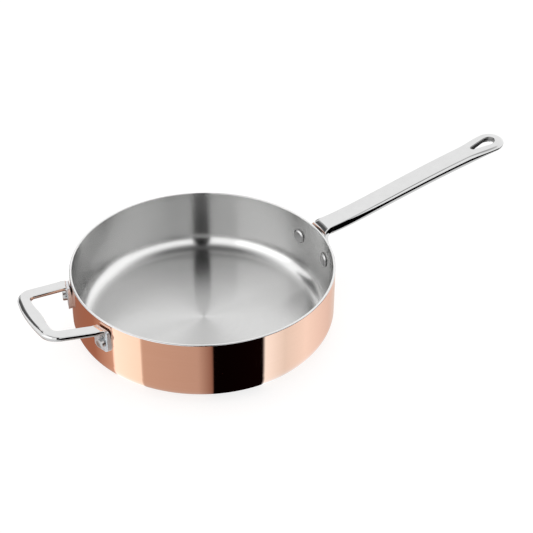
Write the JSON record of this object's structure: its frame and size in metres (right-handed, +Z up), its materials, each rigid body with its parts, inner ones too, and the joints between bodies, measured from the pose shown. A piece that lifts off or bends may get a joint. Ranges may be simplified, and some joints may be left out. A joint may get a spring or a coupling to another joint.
{
  "type": "saute pan",
  "caption": "Straight-sided copper-clad saute pan with a long riveted handle and a riveted loop handle opposite it.",
  "frame": {"origin": "centre of the pan's flat base, on the surface it stands on", "axes": "+Z up along the pan's axis, +X along the long handle, so the loop handle points along -X"},
  "size_m": [0.5437, 0.26, 0.1108],
  "materials": {
    "copper": "polished copper",
    "core": "bonded aluminium sheet with a polished edge",
    "liner": "circular brushed stainless steel",
    "casting": "polished cast stainless steel",
    "rivet": "satin stainless steel"
  },
  "bodies": {
    "root": {"copper_skin": "copper", "aluminium_core": "core", "steel_liner": "liner", "long_handle": "casting", "long_handle_left_rivet": "rivet", "long_handle_right_rivet": "rivet", "helper_handle": "casting", "helper_left_rivet": "rivet", "helper_right_rivet": "rivet"}
  },
  "joints": []
}
